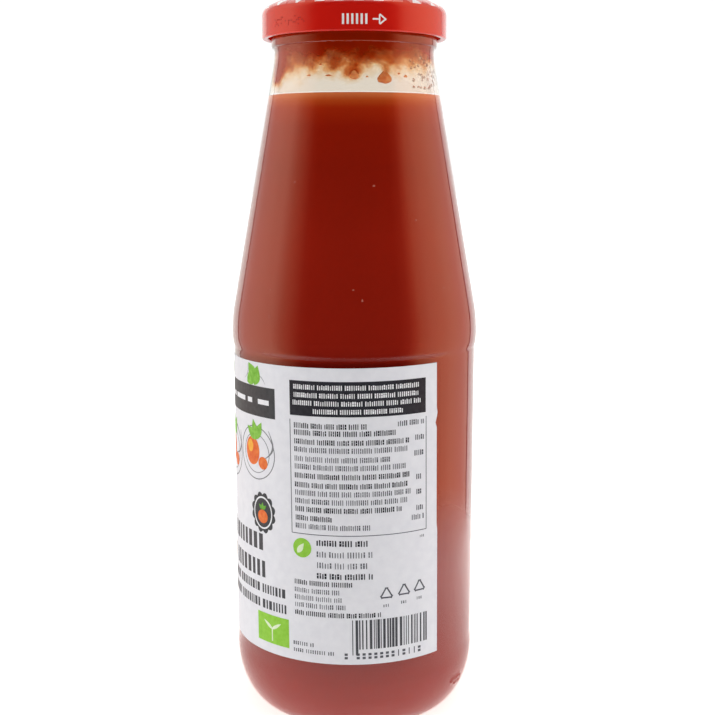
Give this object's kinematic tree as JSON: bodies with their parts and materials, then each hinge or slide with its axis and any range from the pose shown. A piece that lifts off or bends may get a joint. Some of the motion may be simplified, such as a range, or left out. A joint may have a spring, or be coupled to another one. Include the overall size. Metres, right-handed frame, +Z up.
{
  "type": "passata bottle",
  "caption": "Upright clear glass bottle of tomato passata: long cone shoulder, red metal twist-off cap, and a paper label wrapped round a slightly set-in panel.",
  "frame": {"origin": "centre of the base, on the surface that the bottle stands on", "axes": "+Z up along the bottle's axis, -Y towards the label's side panel, which the picture shows, and +X to the viewer's right"},
  "size_m": [0.0772, 0.0772, 0.2222],
  "materials": {
    "clear_glass": "clear, smooth moulded soda-lime glass",
    "tomato_passata": "dense, smooth, wet tomato purée seen through glass",
    "red_lacquer": "glossy red lacquer on tinplate, with a white printed pattern",
    "label_paper": "white coated paper, printed in dark grey and green"
  },
  "bodies": {
    "root": {"glass_bottle": "clear_glass", "passata": "tomato_passata", "cap": "red_lacquer", "label": "label_paper"}
  },
  "joints": []
}
